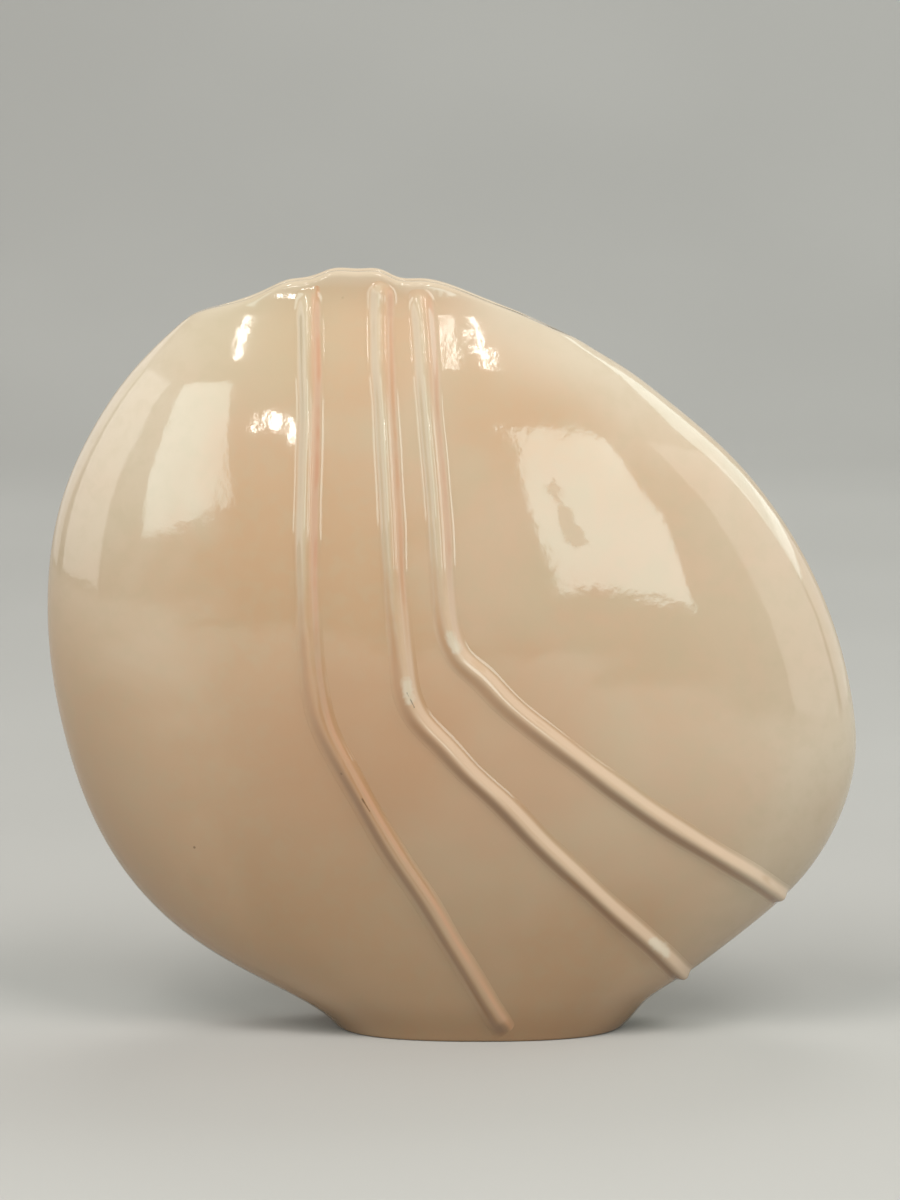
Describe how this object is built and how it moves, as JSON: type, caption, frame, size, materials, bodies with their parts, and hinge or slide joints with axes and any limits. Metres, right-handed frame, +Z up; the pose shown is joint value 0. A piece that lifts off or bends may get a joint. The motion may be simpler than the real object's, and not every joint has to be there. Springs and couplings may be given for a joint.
{
  "type": "pillow vase",
  "caption": "Tall flattened vase: swelling halves joined at the edge, a narrow wavy slot mouth off to the left, an oval foot, and raised coils that run down and sweep to the right.",
  "frame": {"origin": "centre of the oval foot on the surface the vase stands on, in the plane where the two halves join", "axes": "+X to the right seen from the front, +Y from the front, which carries the coils, to the back, +Z up"},
  "size_m": [0.2965, 0.0862, 0.2803],
  "materials": {
    "pearl_glaze": "glossy pearl lustre glaze, peach at the middle, paler and greenish cream towards the edge",
    "ridge_glaze": "the same glaze, broken paler along the crests and warmer on the right flanks",
    "bare_clay": "unglazed stoneware, matt, finely gritty"
  },
  "bodies": {
    "root": {"front_shell": "pearl_glaze", "back_shell": "pearl_glaze", "base_floor": "bare_clay", "left_ridge": "ridge_glaze", "middle_ridge_upper": "ridge_glaze", "middle_ridge_lower": "ridge_glaze", "right_ridge_upper": "ridge_glaze", "right_ridge_lower": "ridge_glaze"}
  },
  "joints": []
}
